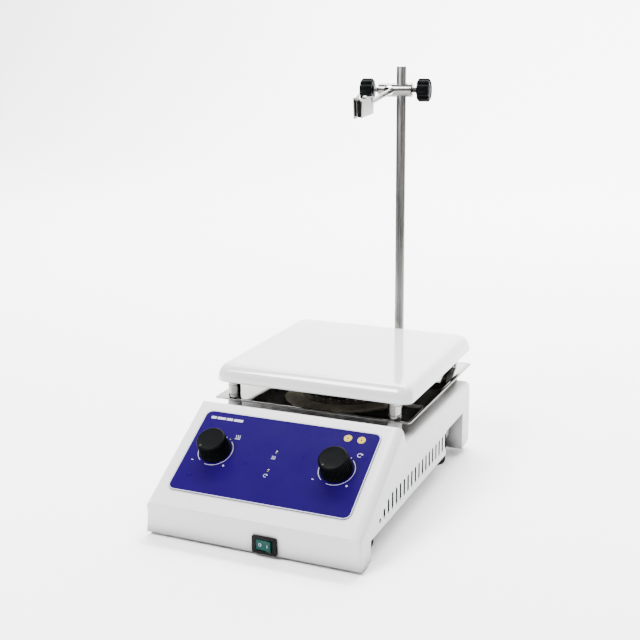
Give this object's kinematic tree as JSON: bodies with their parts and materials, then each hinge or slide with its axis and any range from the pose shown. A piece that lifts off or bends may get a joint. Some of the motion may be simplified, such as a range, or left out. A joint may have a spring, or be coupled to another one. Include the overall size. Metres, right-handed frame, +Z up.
{
  "type": "magnetic stirrer",
  "caption": "Hot-plate magnetic stirrer: wedge-fronted white base with a sloped control panel, square heated plate on standoffs, support rod with bosshead and spring clip.",
  "frame": {"origin": "on the floor, under the middle of the whole object's bounding box", "axes": "+Z up, the control panel faces -Y, +X to the right as seen from the front"},
  "size_m": [0.184, 0.3175, 0.357],
  "materials": {
    "white_plastic": "fine satin moulded plastic",
    "white_enamel": "glossy white ceramic enamel",
    "blue_overlay": "semi-gloss printed film",
    "black_plastic": "fine-grained moulded plastic",
    "black_rubber": "matt rubber",
    "green_rocker": "translucent green plastic",
    "indicator_lens": "smoked lens, unlit",
    "polished_steel": "polished stainless steel",
    "brushed_steel": "drawn stainless steel",
    "zinc_steel": "zinc plated",
    "aluminium": "machined",
    "magnet": "nickel plated, dark",
    "insulation": "pressed mica and ceramic fibre",
    "circuit_board": "solder-masked board",
    "transformer": "laminated core with varnished coil",
    "wire_sleeve": "woven glass fibre sleeve",
    "fuse_glass": "clear glass"
  },
  "bodies": {
    "root": {"housing": "white_plastic", "bottom_plate": "zinc_steel", "foot_front_left": "black_rubber", "foot_front_right": "black_rubber", "foot_rear_left": "black_rubber", "foot_rear_right": "black_rubber", "control_label": "blue_overlay", "temp_indicator": "indicator_lens", "speed_indicator": "indicator_lens", "switch_bezel": "black_plastic", "temp_potentiometer": "zinc_steel", "speed_potentiometer": "zinc_steel", "temp_nut": "zinc_steel", "speed_nut": "zinc_steel", "heat_shield_tray": "polished_steel", "standoff_front_left": "polished_steel", "standoff_front_right": "polished_steel", "standoff_rear_left": "polished_steel", "standoff_rear_right": "polished_steel", "top_plate": "white_enamel", "heater_disc": "aluminium", "insulation_disc": "insulation", "perforated_can": "brushed_steel", "temperature_sensor": "brushed_steel", "stirring_motor": "zinc_steel", "motor_bracket": "zinc_steel", "control_board": "circuit_board", "transformer": "transformer", "terminal_block": "black_plastic", "power_inlet": "black_plastic", "rod_bracket": "brushed_steel", "bracket_screw_left": "zinc_steel", "bracket_screw_right": "zinc_steel", "heater_lead": "wire_sleeve"},
    "rocker": {"switch_rocker": "green_rocker"},
    "temp_control": {"temp_knob": "black_plastic", "temp_shaft": "aluminium"},
    "speed_control": {"speed_knob": "black_plastic", "speed_shaft": "aluminium"},
    "stirring_rotor": {"magnet_holder": "aluminium", "motor_shaft": "brushed_steel", "magnet_left": "magnet", "magnet_right": "magnet"},
    "fuse_carrier": {"fuse_drawer": "black_plastic", "fuse": "fuse_glass"},
    "rod": {"support_rod": "brushed_steel", "rod_lock_nut": "zinc_steel"},
    "boss": {"bosshead": "polished_steel"},
    "rod_clamp": {"rod_clamp_knob": "black_plastic", "rod_clamp_screw": "polished_steel"},
    "arm_clamp": {"arm_clamp_knob": "black_plastic", "arm_clamp_screw": "polished_steel"},
    "arm": {"clip_arm": "brushed_steel"},
    "clip": {"clip_fixed_jaw": "polished_steel", "clip_pin": "zinc_steel", "clip_spring": "zinc_steel", "fixed_jaw_lining": "black_rubber"},
    "jaw": {"clip_moving_jaw": "polished_steel", "moving_jaw_lining": "black_rubber"}
  },
  "joints": [
    {"name": "switch_rock", "type": "hinge", "parent": "root", "child": "rocker", "pos_m": [0.0135, -0.1551, 0.0111], "axis": [0, 0, 1], "range_deg": [0, 18]},
    {"name": "temp_knob_turn", "type": "hinge", "parent": "root", "child": "temp_control", "pos_m": [-0.0533, -0.1085, 0.05987], "axis": [0, 0.5098, -0.8603], "range_deg": [0, 280]},
    {"name": "speed_knob_turn", "type": "hinge", "parent": "root", "child": "speed_control", "pos_m": [0.0533, -0.1085, 0.05987], "axis": [0, 0.5098, -0.8603], "range_deg": [0, 280]},
    {"name": "rotor_spin", "type": "hinge", "parent": "root", "child": "stirring_rotor", "pos_m": [0, 0.0468, 0.09], "axis": [0, 0, 1], "continuous": true},
    {"name": "fuse_drawer_slide", "type": "slide", "parent": "root", "child": "fuse_carrier", "axis": [0, 1, 0], "range_m": [0, 0.016]},
    {"name": "rod_turn", "type": "hinge", "parent": "root", "child": "rod", "pos_m": [0.0135, 0.1449, 0.2], "axis": [0, 0, 1], "range_deg": [-180, 180]},
    {"name": "boss_slide", "type": "slide", "parent": "rod", "child": "boss", "axis": [0, 0, 1], "range_m": [-0.185, 0.012]},
    {"name": "rod_clamp_turn", "type": "hinge", "parent": "boss", "child": "rod_clamp", "pos_m": [0.0135, 0.1449, 0.3355], "axis": [0.9945, 0.1045, 0], "range_deg": [0, 360]},
    {"name": "arm_clamp_turn", "type": "hinge", "parent": "boss", "child": "arm_clamp", "pos_m": [0.0135, 0.1449, 0.3355], "axis": [-0.9945, -0.1045, 0], "range_deg": [0, 360]},
    {"name": "arm_slide", "type": "slide", "parent": "boss", "child": "arm", "axis": [0.1041, -0.9907, -0.0872], "range_m": [-0.068, 0]},
    {"name": "clip_roll", "type": "hinge", "parent": "arm", "child": "clip", "pos_m": [0.00465, 0.14397, 0.3355], "axis": [0.1041, -0.9907, -0.0872], "range_deg": [-90, 90]},
    {"name": "clip_jaw_open", "type": "hinge", "parent": "clip", "child": "jaw", "pos_m": [0.01464, 0.04896, 0.32714], "axis": [-0.0091, 0.0867, -0.9962], "range_deg": [0, 22], "stiffness_Nm_per_rad": 0.03, "springref_deg": -17.19}
  ]
}
